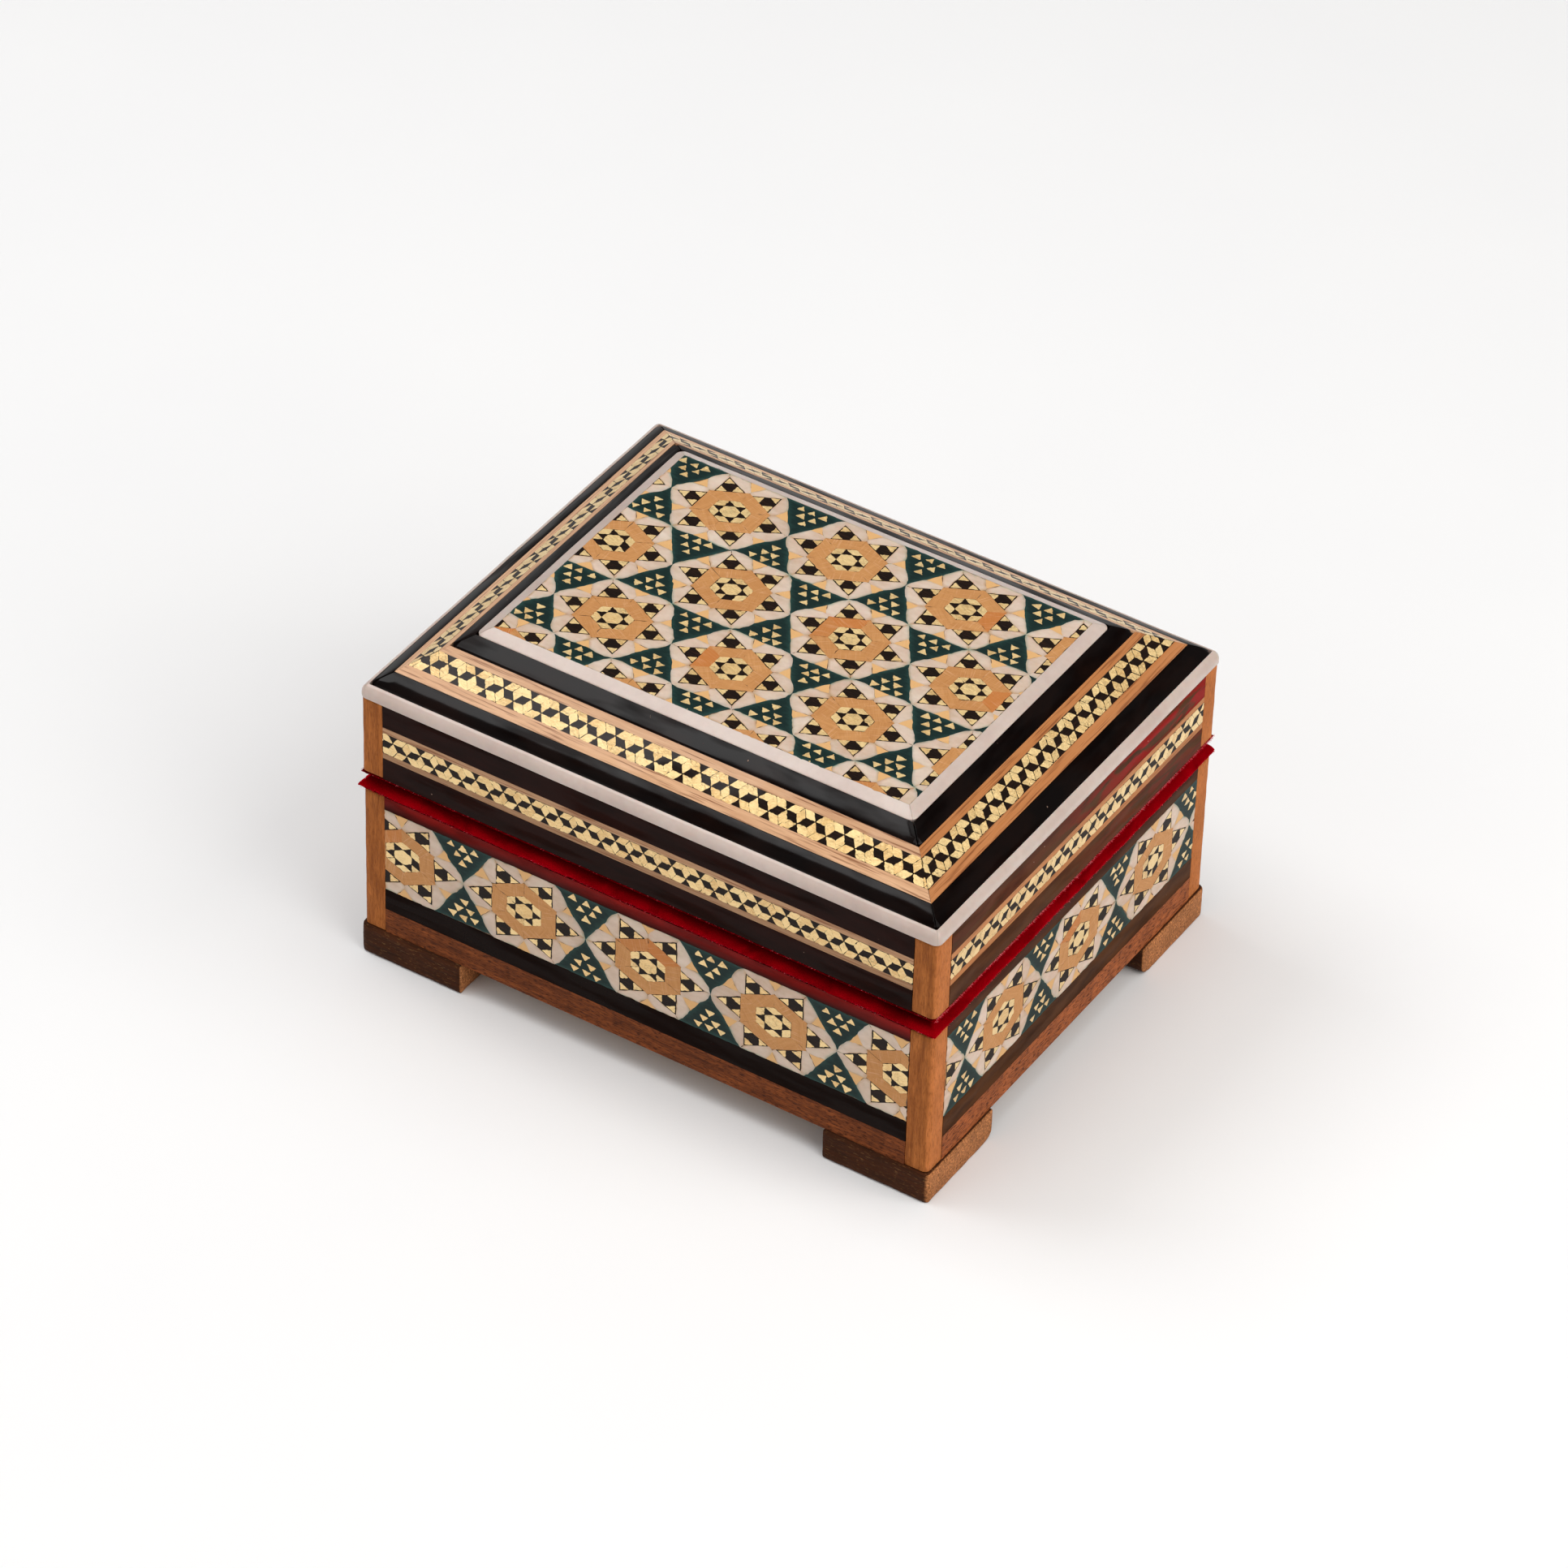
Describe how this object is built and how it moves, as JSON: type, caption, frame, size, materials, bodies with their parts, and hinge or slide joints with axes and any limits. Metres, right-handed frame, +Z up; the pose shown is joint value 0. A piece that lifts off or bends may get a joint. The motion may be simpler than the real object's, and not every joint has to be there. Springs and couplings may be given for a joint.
{
  "type": "hinged jewellery box",
  "caption": "Small rectangular wooden box with a hipped hinged lid, star marquetry panels, corner posts, bracket feet and a velvet lining.",
  "frame": {"origin": "middle of the footprint, hinge barrels included, on the plane the feet stand on", "axes": "+Z up; +X along the box's length, to the right as seen from the front; -Y towards the front, where the lid opens; hinges at +Y"},
  "size_m": [0.0902, 0.0732, 0.053],
  "materials": {
    "carcass_wood": "plain sanded softwood, mostly hidden under veneers and velvet",
    "post_wood": "satin light-brown wood, grain running up the post",
    "plinth_wood": "satin reddish-brown wood with short dark grain marks",
    "foot_wood": "dark stained wood, a little rough",
    "black_lacquer": "black strips under high-gloss lacquer",
    "star_marquetry": "khatam marquetry of wood, bone, green-dyed wood and brass wire under gloss lacquer",
    "brass_marquetry": "brass and black khatam band between light wood lines under gloss lacquer",
    "bone": "off-white bone, or the resin sold as bone, polished",
    "velvet": "red velvet with a short pile and raw cut edges",
    "brass": "thin pressed brass, lightly tarnished"
  },
  "bodies": {
    "base": {"base_facing_back": "black_lacquer", "base_facing_front": "black_lacquer", "base_facing_left": "black_lacquer", "base_facing_right": "black_lacquer", "base_lining": "velvet", "base_post_back_left": "post_wood", "base_post_back_right": "post_wood", "base_post_front_left": "post_wood", "base_post_front_right": "post_wood", "base_stars_back": "star_marquetry", "base_stars_front": "star_marquetry", "base_stars_left": "star_marquetry", "base_stars_right": "star_marquetry", "base_wall_back": "carcass_wood", "base_wall_front": "carcass_wood", "base_wall_left": "carcass_wood", "base_wall_right": "carcass_wood", "bottom_board": "carcass_wood", "foot_back_left": "foot_wood", "foot_back_right": "foot_wood", "foot_front_left": "foot_wood", "foot_front_right": "foot_wood", "hinge_leaf_base_left": "brass", "hinge_leaf_base_right": "brass", "hinge_pin_left": "brass", "hinge_pin_right": "brass", "plinth_back": "plinth_wood", "plinth_front": "plinth_wood", "plinth_left": "plinth_wood", "plinth_right": "plinth_wood"},
    "lid": {"bone_frame": "bone", "edge_trim": "bone", "hinge_leaf_lid_left": "brass", "hinge_leaf_lid_right": "brass", "inner_black_strips": "black_lacquer", "lid_band_back": "brass_marquetry", "lid_band_front": "brass_marquetry", "lid_band_left": "brass_marquetry", "lid_band_right": "brass_marquetry", "lid_board": "carcass_wood", "lid_facing_back": "black_lacquer", "lid_facing_front": "black_lacquer", "lid_facing_left": "black_lacquer", "lid_facing_right": "black_lacquer", "lid_lining": "velvet", "lid_post_back_left": "post_wood", "lid_post_back_right": "post_wood", "lid_post_front_left": "post_wood", "lid_post_front_right": "post_wood", "lid_wall_back": "carcass_wood", "lid_wall_front": "carcass_wood", "lid_wall_left": "carcass_wood", "lid_wall_right": "carcass_wood", "outer_black_strips": "black_lacquer", "slope_band_back": "brass_marquetry", "slope_band_front": "brass_marquetry", "slope_band_left": "brass_marquetry", "slope_band_right": "brass_marquetry", "star_panel": "star_marquetry"}
  },
  "joints": [
    {"name": "lid_hinge", "type": "hinge", "parent": "base", "child": "lid", "pos_m": [0, 0.03545, 0.03015], "axis": [-1, 0, 0], "range_deg": [0, 105]}
  ]
}
